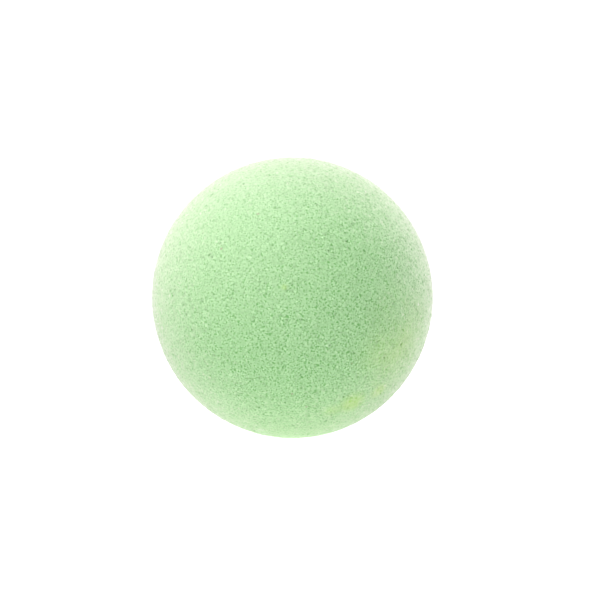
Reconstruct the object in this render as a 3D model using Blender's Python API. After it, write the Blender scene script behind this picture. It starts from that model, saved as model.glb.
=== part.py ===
"""A floral foam ball: one piece of fine-celled foam, turned to a sphere, for round flower arrangements.

Units are metres and +Z is up. The origin is the centre of the small flat that the ball rests on.
"""

import math

import bmesh
import bpy
from mathutils import Vector

# Driving dimensions.
BALL_DIAMETER = 0.090
REST_FLAT_DIAMETER = 0.0094

# How finely the round surface is faceted. A ring lies on the equator, so the ball has its full width.
SEGMENTS_AROUND = 64
RINGS_BELOW_EQUATOR = 15
RINGS_ABOVE_EQUATOR = 16

# The foam's colour (linear), roughness and metallic value.
FOAM_COLOUR = (0.45, 0.73, 0.38, 1.0)
FOAM_ROUGHNESS = 0.95
FOAM_METALLIC = 0.0

# Points of a turned profile that are closer than this are the same point.
WELD_DISTANCE = 1e-6


def clear_scene():
    """Removes every object, so that the part starts from an empty scene."""
    for old in list(bpy.data.objects):
        bpy.data.objects.remove(old, do_unlink=True)


def foam_material():
    """Dry floral foam: pale green and quite matt."""
    material = bpy.data.materials.new("foam")
    material.use_nodes = True
    shader = material.node_tree.nodes["Principled BSDF"]
    shader.inputs["Base Color"].default_value = FOAM_COLOUR
    shader.inputs["Roughness"].default_value = FOAM_ROUGHNESS
    shader.inputs["Metallic"].default_value = FOAM_METALLIC
    return material


def ball_profile():
    """The half outline in the XZ plane: an arc from the rest flat's edge, at z = 0, up to the top of the ball."""
    radius = BALL_DIAMETER / 2
    flat_angle = math.asin(REST_FLAT_DIAMETER / BALL_DIAMETER)
    centre_height = radius * math.cos(flat_angle)
    quarter = math.pi / 2
    below = [
        flat_angle + (quarter - flat_angle) * ring / RINGS_BELOW_EQUATOR for ring in range(RINGS_BELOW_EQUATOR)
    ]
    above = [quarter + quarter * ring / RINGS_ABOVE_EQUATOR for ring in range(RINGS_ABOVE_EQUATOR + 1)]
    return [
        Vector((radius * math.sin(angle), 0.0, centre_height - radius * math.cos(angle)))
        for angle in below + above
    ]


def turned_mesh(name, profile):
    """A solid of revolution about Z, closed by a flat face at its foot."""
    shape = bmesh.new()
    verts = [shape.verts.new(point) for point in profile]
    edges = [shape.edges.new(pair) for pair in zip(verts, verts[1:])]
    bmesh.ops.spin(
        shape,
        geom=verts + edges,
        cent=(0.0, 0.0, 0.0),
        axis=(0.0, 0.0, 1.0),
        angle=2 * math.pi,
        steps=SEGMENTS_AROUND,
        use_merge=True,
    )
    bmesh.ops.remove_doubles(shape, verts=shape.verts, dist=WELD_DISTANCE)
    bmesh.ops.holes_fill(shape, edges=shape.edges, sides=SEGMENTS_AROUND)
    bmesh.ops.recalc_face_normals(shape, faces=shape.faces)
    mesh = bpy.data.meshes.new(name)
    shape.to_mesh(mesh)
    shape.free()
    return mesh


def make_foam_ball():
    """The whole object: a solid ball with a small flat at its lowest point."""
    mesh = turned_mesh("foam_ball", ball_profile())
    mesh.materials.append(foam_material())
    mesh.shade_smooth()
    mesh.set_sharp_from_angle(angle=math.radians(30))
    ball = bpy.data.objects.new("foam_ball", mesh)
    bpy.context.scene.collection.objects.link(ball)
    return ball


clear_scene()
make_foam_ball()
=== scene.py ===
"""The looks of a floral foam ball: a pale green sphere of fine open-cell foam on a white studio table.

The foam's surface is real geometry: a mesh with one point for each cell, sunk to a depth of its own.
Grain that is finer than the mesh is in the material.
"""

import math

import bpy
import numpy as np
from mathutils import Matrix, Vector
from mathutils.geometry import delaunay_2d_cdt


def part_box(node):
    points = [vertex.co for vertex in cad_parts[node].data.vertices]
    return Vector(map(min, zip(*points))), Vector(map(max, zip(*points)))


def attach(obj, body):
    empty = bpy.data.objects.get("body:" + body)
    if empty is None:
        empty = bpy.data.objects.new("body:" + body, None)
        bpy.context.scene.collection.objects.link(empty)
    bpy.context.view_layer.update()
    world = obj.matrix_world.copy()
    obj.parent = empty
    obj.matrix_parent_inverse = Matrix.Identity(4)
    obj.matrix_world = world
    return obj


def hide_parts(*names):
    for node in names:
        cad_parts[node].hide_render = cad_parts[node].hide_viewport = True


RANDOM_SEED = 7

# The cells of the foam: how many, how far off an even lattice (in spacings), and how deep (in metres).
# Most depths lie between 0 and the usual one. The higher the rarity, the fewer cells come near the deepest.
# On the rest flat the cells are crushed to a share of their depth.
CELL_COUNT = 98000
CELL_SHAKE = 0.30
PIT_USUAL = 0.00045
PIT_DEEPEST = 0.00070
PIT_RARITY = 50.0
CRUSHED_SHARE = 0.35

# Each triangle has a tone, mostly light, with a few dark ones: how rare those are, and how far tones spread.
TONE_RARITY = 3
TONE_SPREAD = 1.1

# Painted light on the upper-left side, which the key light faces. There the tones spread less, as light
# filling the pits makes them, and the colour is mixed paler, a painted highlight. Its middle is at (degrees
# right of the front, degrees up). Then come how much less its tones spread, where its painted highlight
# starts and is strongest (0 is 90 degrees off, 1 is the middle), and how much of the green it covers.
LIT_SIDE = (-40, 40)
LIT_SIDE_EVENING = 0.32
LIT_SIDE_PALE_EDGE = (0.45, 1.0)
LIT_SIDE_PALE_MOST = 0.10

# The ball is a little out of round: a few broad waves of this height in all.
SWELL_WAVES = 14
SWELL_HEIGHT = 0.00016
SWELL_FREQUENCIES = (2.0, 6.0)

# Yellowed patches: (degrees right of the front, degrees up, radius in metres, strength).
YELLOW_PATCHES = (
    (35.5, -45.5, 0.0062, 1.0),
    (50, -39.5, 0.0046, 0.9),
    (44, -36, 0.0035, 0.5),
    (25.5, -49.5, 0.0050, 0.6),
    (50, -18, 0.0260, 0.50),
    (-3, 4, 0.0016, 0.7),
    (50, -3, 0.0050, 0.5),
    (-150, 20, 0.0055, 0.6),
    (118, -30, 0.0045, 0.6),
    (-95, 38, 0.0030, 0.7),
)

# How fast a patch fades outwards, the strengths where its stain starts to show and is full, and how much of
# the green it then covers.
PATCH_FADE = 1.5
STAIN_EDGE = (0.15, 1.0)
STAIN_MOST = 0.75

# Single brownish cells, at (degrees right of the front, degrees up).
SPECKS = (
    (45, 64),
    (-16, 34),
    (-30, 19),
    (0, -40),
    (8, -47),
    (26, -26),
    (46, -28),
    (160, 12),
    (-120, -25),
    (100, 48),
)
SPECK_RADIUS = 0.00055
SPECK_EDGE = (0.2, 0.8)
SPECK_MOST = 0.8

# A UV map of this name, for colours to be baked into. It holds the six sides of a cube, three by two.
BAKE_MAP = "OFBake"
BAKE_COLUMNS = 3
BAKE_ROWS = 2
BAKE_FILL = 0.93

# Linear colours.
STRUT_LIGHT = (0.66, 0.95, 0.575, 1.0)
STRUT_DARK = (0.195, 0.52, 0.145, 1.0)
# Painted shade for the deep pits and the small dots.
PAINTED_PIT_SHADE = (0.075, 0.26, 0.055, 1.0)
STAIN_YELLOW = (0.52, 0.80, 0.19, 1.0)
SPECK_BROWN = (0.36, 0.27, 0.17, 1.0)
# Colours of painted highlight and sheen: pale green on the lit side and edge on, white at the very edge.
PAINTED_PALE = (0.93, 0.985, 0.78, 1.0)
PAINTED_WHITE = (0.97, 1.00, 0.94, 1.0)
TABLE_WHITE = (0.90, 0.90, 0.90, 1.0)

# Painted sheen of the fuzzy struts, mixed into the colour by viewing angle: paler where the surface is seen
# edge
# on, and white at the very edge: (how far turned away it starts, from 0, straight on, to 1, edge on; how much
# of it shows in the end; the power that it grows by).
PAINTED_PALE_SHEEN = (0.17, 0.88, 1.4)
PAINTED_WHITE_SHEEN = (0.80, 0.50, 1.0)

# The foam's own gloss.
FOAM_ROUGHNESS = 0.65
FOAM_SPECULAR = 0.30
FOAM_SHEEN = 0.15
FOAM_SHEEN_ROUGHNESS = 0.5

# The grain that is too fine for the mesh: cells per metre, their height in metres, and how much they show.
GRAIN_SCALE = 3600.0
GRAIN_HEIGHT = 0.00010
GRAIN_BUMP = 0.2
GRAIN_TONE = 0.15

# Small dots of painted pore shade, per metre: how far each reaches from its middle, in cells, and how dark it
# is.
PINHOLE_SCALE = 1600.0
PINHOLE_EDGE = (0.20, 0.55)
PAINTED_PINHOLE_SHADE = 0.12

# How much the mesh's tones show, how dark the painted shade in its deepest pits is, and a broad slow
# change of tone.
CELL_TONE = 1.1
DEEP_PIT_PAINTED_SHADE = 0.5
BROAD_SCALE = 90.0
BROAD_DETAIL = 2.0
BROAD_TONE = 0.03

# The camera, in metres and millimetres of lens. It stands level with the middle of the ball.
CAMERA_DISTANCE = 0.50
CAMERA_LENS = 93.7
AIM_RIGHT = 0.00244
AIM_DOWN = 0.00072
CAMERA_CLIP = (0.01, 20.0)

# The studio: light from the room and the table, and what they look like to the camera.
ROOM_LEVEL = 0.41
BACKGROUND_LEVEL = 1.20
TABLE_GLOW = 0.57
TABLE_GLOW_RADIUS = 0.06
TABLE_SHOWN = 1.10
TABLE_SIZE = 6.0
TABLE_ROUGHNESS = 0.6

# Softboxes round the ball: (name, degrees right of the front, degrees up, power in watts).
SOFTBOXES = (
    ("key", -30, 50, 5.5),
    ("top", -60, 75, 5.2),
    ("left", -90, 5, 2.2),
    ("rim", 126, 18, 5.6),
)
SOFTBOX_DISTANCE = 1.1
SOFTBOX_SIZE = 0.9


def shape_noise(points, rng, waves, frequencies):
    """A smooth field from -1 to 1: the sum of plane waves in random directions."""
    total = np.zeros(len(points))
    for _ in range(waves):
        direction = rng.normal(size=3)
        direction *= rng.uniform(*frequencies) / np.linalg.norm(direction)
        total += np.sin(points @ direction + rng.uniform(0, 2 * math.pi))
    return total / np.abs(total).max()


def direction_of(right_degrees, up_degrees):
    """The unit vector at an angle right of the front, -Y, and above the horizon."""
    right = math.radians(right_degrees)
    up = math.radians(up_degrees)
    return np.array((math.sin(right) * math.cos(up), -math.cos(right) * math.cos(up), math.sin(up)))


def cell_centres(rng):
    """Unit vectors spread evenly over a sphere: a spiral lattice, shaken so that no rows show."""
    turn = np.arange(CELL_COUNT - 1) + 0.5
    height = 1 - 2 * turn / (CELL_COUNT - 1)
    around = math.pi * (1 + math.sqrt(5)) * turn
    ring = np.sqrt(1 - height**2)
    points = np.stack([ring * np.cos(around), ring * np.sin(around), height], axis=1)
    spacing = math.sqrt(4 * math.pi / CELL_COUNT)
    points += rng.normal(0, CELL_SHAKE * spacing, points.shape)
    points /= np.linalg.norm(points, axis=1, keepdims=True)
    return np.vstack([points, (0.0, 0.0, 1.0)])


def neighbour_triangles(centres):
    """The Delaunay triangles of points on a sphere whose last point is its top.

    The sphere is laid out on a plane, as seen from its top. That keeps circles as circles, and so the
    triangles too. The triangles that meet at the top itself are a fan on the plane's outer edge.
    """
    rest = centres[:-1]
    plane = rest[:, :2] / (1 - rest[:, 2:3])
    found = delaunay_2d_cdt([Vector(point) for point in plane.tolist()], [], [], 0, 0.0)
    triangles = np.array(found[2])
    edges = np.concatenate([triangles[:, (0, 1)], triangles[:, (1, 2)], triangles[:, (2, 0)]])
    there = set(map(tuple, edges.tolist()))
    top = len(centres) - 1
    fan = [(end, start, top) for start, end in there if (end, start) not in there]
    triangles = np.concatenate([triangles, np.array(sorted(fan))])
    return triangles[:, ::-1]


def at_corners(faces, face_values):
    """Each point's average of the faces that meet there."""
    corners = faces.ravel()
    return np.bincount(corners, weights=np.repeat(face_values, 3)) / np.bincount(corners)


def patch_strength(directions, radius, patches):
    """How much of a patch each point has, from 0 to 1."""
    strength = np.zeros(len(directions))
    for right, up, reach, most in patches:
        away = np.linalg.norm(directions - direction_of(right, up), axis=1) * radius / reach
        strength = np.maximum(strength, most * np.exp(-(away**2) * PATCH_FADE))
    return strength


def cube_map(directions, faces):
    """A UV place for each corner of each face, on the side of a cube that the face points at."""
    corners = directions[faces]
    centre = corners.mean(axis=1)
    axis = np.argmax(np.abs(centre), axis=1)
    sign = np.sign(centre[np.arange(len(faces)), axis])
    side = axis * 2 + (sign > 0)
    depth, first, second = (
        np.take_along_axis(corners, ((axis + turn) % 3)[:, None, None].repeat(3, axis=1), axis=2)[..., 0]
        for turn in range(3)
    )
    across = np.arctan2(first * sign[:, None], np.abs(depth)) * 4 / math.pi
    up = np.arctan2(second, np.abs(depth)) * 4 / math.pi
    column = (side % BAKE_COLUMNS)[:, None]
    row = (side // BAKE_COLUMNS)[:, None]
    u = (column + 0.5 + across * BAKE_FILL / 2) / BAKE_COLUMNS
    v = (row + 0.5 + up * BAKE_FILL / 2) / BAKE_ROWS
    return np.stack([u, v], axis=2)


def pit_depths(faces, rng):
    """How deep each cell is, in metres, and which cells are the rare deep ones, from 0 to 1."""
    count = faces.max() + 1
    usual = rng.random(count)
    usual = np.clip(0.5 + usual - at_corners(faces, usual[faces].mean(axis=1)), 0, 1)
    rare = rng.random(count) ** PIT_RARITY
    return np.maximum(PIT_USUAL * usual, PIT_DEEPEST * rare), rare


def surface_places(directions, depth, radius, centre_height, rng):
    """Where each cell's point lies: on a ball slightly out of round, or on its rest flat, and then sunk."""
    swell = shape_noise(directions, rng, SWELL_WAVES, SWELL_FREQUENCIES)
    skin = radius - SWELL_HEIGHT * (swell.max() - swell) / 2
    places = directions * skin[:, None] + (0.0, 0.0, centre_height)
    flat = places[:, 2] < 0
    places[flat, 2] = 0
    inward = np.where(flat[:, None], (0.0, 0.0, 1.0), -directions)
    sunk = depth * np.where(flat, CRUSHED_SHARE, 1.0)
    places += inward * sunk[:, None]
    places[:, 2] = np.maximum(places[:, 2], 0.0)
    return places


def face_tones(faces, lit_side, rng):
    """A tone for each triangle, unlike its neighbours'. Tones lie about 0.5, closer on the lit side: painted
    light.
    """
    tone = 1 - rng.random(len(faces)) ** TONE_RARITY
    tone -= at_corners(faces, tone)[faces].mean(axis=1)
    return 0.5 + tone * (TONE_SPREAD - LIT_SIDE_EVENING * lit_side[faces[:, 0]])


def add_attribute(mesh, name, domain, values):
    """A named number for each point or face, which the material reads."""
    attribute = mesh.attributes.new(name, "FLOAT", domain)
    attribute.data.foreach_set("value", values.astype(np.float32))


def foam_mesh(radius, centre_height):
    """The ball's surface, with the UV map and the attributes that its material needs."""
    rng = np.random.default_rng(RANDOM_SEED)
    directions = cell_centres(rng)
    faces = neighbour_triangles(directions)
    depth, rare = pit_depths(faces, rng)
    places = surface_places(directions, depth, radius, centre_height, rng)

    mesh = bpy.data.meshes.new("foam_ball_surface")
    mesh.from_pydata(places.tolist(), [], faces.tolist())
    mesh.shade_smooth()
    uv = mesh.uv_layers.new(name=BAKE_MAP)
    uv.data.foreach_set("uv", cube_map(directions, faces).astype(np.float32).ravel())

    # The side the key light faces: painted light evens its tones and makes its colour paler.
    lit_side = np.clip(directions @ direction_of(*LIT_SIDE), 0, 1)
    specks = [(right, up, SPECK_RADIUS, 1.0) for right, up in SPECKS]
    # How rare and deep each cell is, for the painted shade in the deep pits.
    add_attribute(mesh, "deep_pit_shade", "POINT", rare)
    add_attribute(mesh, "lit_side", "POINT", lit_side)
    add_attribute(mesh, "stain", "POINT", patch_strength(directions, radius, YELLOW_PATCHES))
    add_attribute(mesh, "speck", "POINT", patch_strength(directions, radius, specks))
    add_attribute(mesh, "tone", "FACE", face_tones(faces, lit_side, rng))
    mesh.update()
    return mesh


class Nodes:
    """Short ways to add and link the nodes of one material."""

    def __init__(self, material):
        material.use_nodes = True
        self.tree = material.node_tree
        self.shader = self.tree.nodes["Principled BSDF"]

    def add(self, kind, inputs=None, **settings):
        node = self.tree.nodes.new(kind)
        for name, value in settings.items():
            setattr(node, name, value)
        for name, value in (inputs or {}).items():
            self.put(node.inputs[name], value)
        return node

    def put(self, socket, value):
        if isinstance(value, bpy.types.NodeSocket):
            self.tree.links.new(value, socket)
        else:
            socket.default_value = value

    def attribute(self, name):
        return self.add("ShaderNodeAttribute", attribute_name=name).outputs["Fac"]

    def math(self, operation, first, second=0.0):
        return self.add("ShaderNodeMath", {0: first, 1: second}, operation=operation).outputs[0]

    def ramp(self, value, low, high, to_low=0.0, to_high=1.0):
        """value from low to high becomes to_low to to_high, with soft ends."""
        inputs = {"Value": value, "From Min": low, "From Max": high, "To Min": to_low, "To Max": to_high}
        return self.add("ShaderNodeMapRange", inputs, interpolation_type="SMOOTHSTEP").outputs["Result"]

    def mix(self, share, first, second):
        node = self.add("ShaderNodeMix", data_type="RGBA", clamp_factor=True)
        self.put(node.inputs[0], share)
        self.put(node.inputs[6], first)
        self.put(node.inputs[7], second)
        return node.outputs[2]

    def around_middle(self, value, width):
        """A value from 0 to 1 becomes one from -width/2 to width/2."""
        return self.math("MULTIPLY", self.math("SUBTRACT", value, 0.5), width)

    def edge_on(self, start, most, power):
        """How much painted sheen is mixed into the colour: none where the surface is seen straight on, most
        edge on.
        """
        facing = self.add("ShaderNodeLayerWeight", {"Blend": 0.5}).outputs["Facing"]
        share = self.add("ShaderNodeMapRange", {"Value": facing, "From Min": start}).outputs["Result"]
        return self.math("MULTIPLY", self.math("POWER", share, power), most)


def grain_height(n, place):
    """The fine grain: a random level for each cell."""
    grain = n.add("ShaderNodeTexVoronoi", {"Vector": place, "Scale": GRAIN_SCALE}, feature="F1")
    return n.add("ShaderNodeSeparateColor", {"Color": grain.outputs["Color"]}).outputs[0]


def foam_colour(n, place, grain):
    """Light and dark struts, then stains, painted shade in pits and dots, specks, and painted highlight and
    sheen.
    """
    broad = n.add("ShaderNodeTexNoise", {"Vector": place, "Scale": BROAD_SCALE, "Detail": BROAD_DETAIL})
    broad = broad.outputs["Fac"]
    dots = n.add("ShaderNodeTexVoronoi", {"Vector": place, "Scale": PINHOLE_SCALE}, feature="F1")
    painted_pinhole = n.ramp(dots.outputs["Distance"], *PINHOLE_EDGE, 1.0, 0.0)

    tone = n.around_middle(grain, GRAIN_TONE)
    tone = n.math("ADD", tone, n.around_middle(n.attribute("tone"), CELL_TONE))
    tone = n.math("ADD", tone, n.around_middle(broad, BROAD_TONE))
    colour = n.mix(n.math("ADD", tone, 0.5), STRUT_DARK, STRUT_LIGHT)

    uneven_stain = n.math("MULTIPLY", n.attribute("stain"), n.math("ADD", broad, 0.5))
    colour = n.mix(n.ramp(uneven_stain, *STAIN_EDGE, 0.0, STAIN_MOST), colour, STAIN_YELLOW)
    # Painted shade in the deepest pits and in the small dots.
    colour = n.mix(n.math("MULTIPLY", n.attribute("deep_pit_shade"), DEEP_PIT_PAINTED_SHADE), colour, PAINTED_PIT_SHADE)
    colour = n.mix(n.math("MULTIPLY", painted_pinhole, PAINTED_PINHOLE_SHADE), colour, PAINTED_PIT_SHADE)
    colour = n.mix(n.ramp(n.attribute("speck"), *SPECK_EDGE, 0.0, SPECK_MOST), colour, SPECK_BROWN)
    # Painted highlight: the lit side mixed paler.
    colour = n.mix(n.ramp(n.attribute("lit_side"), *LIT_SIDE_PALE_EDGE, 0.0, LIT_SIDE_PALE_MOST), colour, PAINTED_PALE)
    # Painted sheen: paler, then white at the very edge, where the surface is seen edge on.
    colour = n.mix(n.edge_on(*PAINTED_PALE_SHEEN), colour, PAINTED_PALE)
    return n.mix(n.edge_on(*PAINTED_WHITE_SHEEN), colour, PAINTED_WHITE)


def foam_material():
    """Fine open-cell foam: matt and a little fuzzy, in pale green."""
    material = bpy.data.materials.new("foam")
    n = Nodes(material)
    place = n.add("ShaderNodeTexCoord").outputs["Object"]
    grain = grain_height(n, place)
    n.put(n.shader.inputs["Base Color"], foam_colour(n, place, grain))
    bump = n.add("ShaderNodeBump", {"Height": grain, "Strength": GRAIN_BUMP, "Distance": GRAIN_HEIGHT})
    n.put(n.shader.inputs["Normal"], bump.outputs["Normal"])
    n.shader.inputs["Roughness"].default_value = FOAM_ROUGHNESS
    n.shader.inputs["Specular IOR Level"].default_value = FOAM_SPECULAR
    n.shader.inputs["Sheen Weight"].default_value = FOAM_SHEEN
    n.shader.inputs["Sheen Roughness"].default_value = FOAM_SHEEN_ROUGHNESS
    return material


def foam_ball():
    """The ball, which takes the place of the plain solid in the frame. Returns its middle."""
    low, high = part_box("foam_ball")
    radius = (high[0] - low[0]) / 2
    mesh = foam_mesh(radius, high[2] - radius)
    mesh.materials.append(foam_material())
    ball = bpy.data.objects.new("foam_ball_surface", mesh)
    bpy.context.scene.collection.objects.link(ball)
    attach(ball, "root")
    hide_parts("foam_ball")
    return Vector((0, 0, high[2] - radius))


def table():
    """A wide table top of white acrylic, lit from below round the ball. It shows brighter than it lights."""
    half = TABLE_SIZE / 2
    mesh = bpy.data.meshes.new("table")
    corners = [(-half, -half, 0), (half, -half, 0), (half, half, 0), (-half, half, 0)]
    mesh.from_pydata(corners, [], [(0, 1, 2, 3)])
    material = bpy.data.materials.new("table_white")
    n = Nodes(material)
    n.shader.inputs["Base Color"].default_value = TABLE_WHITE
    n.shader.inputs["Roughness"].default_value = TABLE_ROUGHNESS
    n.shader.inputs["Emission Color"].default_value = (1, 1, 1, 1)
    place = n.add("ShaderNodeTexCoord").outputs["Object"]
    away = n.add("ShaderNodeVectorMath", {0: place}, operation="LENGTH").outputs["Value"]
    glow = n.ramp(away, 0.0, TABLE_GLOW_RADIUS, TABLE_GLOW, 0.0)
    n.put(n.shader.inputs["Emission Strength"], shown_or_given(n.tree, TABLE_SHOWN, glow))
    mesh.materials.append(material)
    top = bpy.data.objects.new("table", mesh)
    bpy.context.scene.collection.objects.link(top)


def shown_or_given(tree, shown, given):
    """A brightness that is one level to the camera and another to what it lights."""
    path = tree.nodes.new("ShaderNodeLightPath")
    level = tree.nodes.new("ShaderNodeMapRange")
    if isinstance(given, bpy.types.NodeSocket):
        tree.links.new(given, level.inputs["To Min"])
    else:
        level.inputs["To Min"].default_value = given
    level.inputs["To Max"].default_value = shown
    tree.links.new(path.outputs["Is Camera Ray"], level.inputs["Value"])
    return level.outputs["Result"]


def room():
    """A white room: even light from all sides, and a background that shows as pure white."""
    world = bpy.data.worlds.new("room")
    world.use_nodes = True
    bpy.context.scene.world = world
    background = world.node_tree.nodes["Background"]
    background.inputs["Color"].default_value = (1, 1, 1, 1)
    level = shown_or_given(world.node_tree, BACKGROUND_LEVEL, ROOM_LEVEL)
    world.node_tree.links.new(level, background.inputs["Strength"])


def softbox(name, right, up, power, target):
    """A square soft light at an angle right of the front and above the target, which it faces."""
    lamp = bpy.data.lights.new(name, "AREA")
    lamp.size = SOFTBOX_SIZE
    lamp.energy = power
    light = bpy.data.objects.new(name, lamp)
    light.location = target + Vector(direction_of(right, up)) * SOFTBOX_DISTANCE
    light.rotation_euler = (target - light.location).to_track_quat("-Z", "Y").to_euler()
    bpy.context.scene.collection.objects.link(light)


def camera(target):
    """A level camera in front of the ball."""
    data = bpy.data.cameras.new("camera")
    data.lens = CAMERA_LENS
    data.clip_start, data.clip_end = CAMERA_CLIP
    eye = bpy.data.objects.new("camera", data)
    eye.location = target + Vector((0, -CAMERA_DISTANCE, 0))
    aim = target + Vector((AIM_RIGHT, 0, -AIM_DOWN))
    eye.rotation_euler = (aim - eye.location).to_track_quat("-Z", "Y").to_euler()
    bpy.context.scene.collection.objects.link(eye)
    bpy.context.scene.camera = eye


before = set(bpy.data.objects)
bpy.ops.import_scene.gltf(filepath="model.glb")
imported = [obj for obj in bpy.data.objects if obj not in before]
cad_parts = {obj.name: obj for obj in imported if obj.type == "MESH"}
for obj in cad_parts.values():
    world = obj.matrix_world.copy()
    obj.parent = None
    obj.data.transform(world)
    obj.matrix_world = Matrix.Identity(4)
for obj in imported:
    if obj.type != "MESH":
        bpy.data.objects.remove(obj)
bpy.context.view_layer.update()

middle = foam_ball()
table()
room()
for name, right, up, power in SOFTBOXES:
    softbox(name, right, up, power, middle)
camera(middle)
bpy.context.scene.view_settings.view_transform = "Standard"
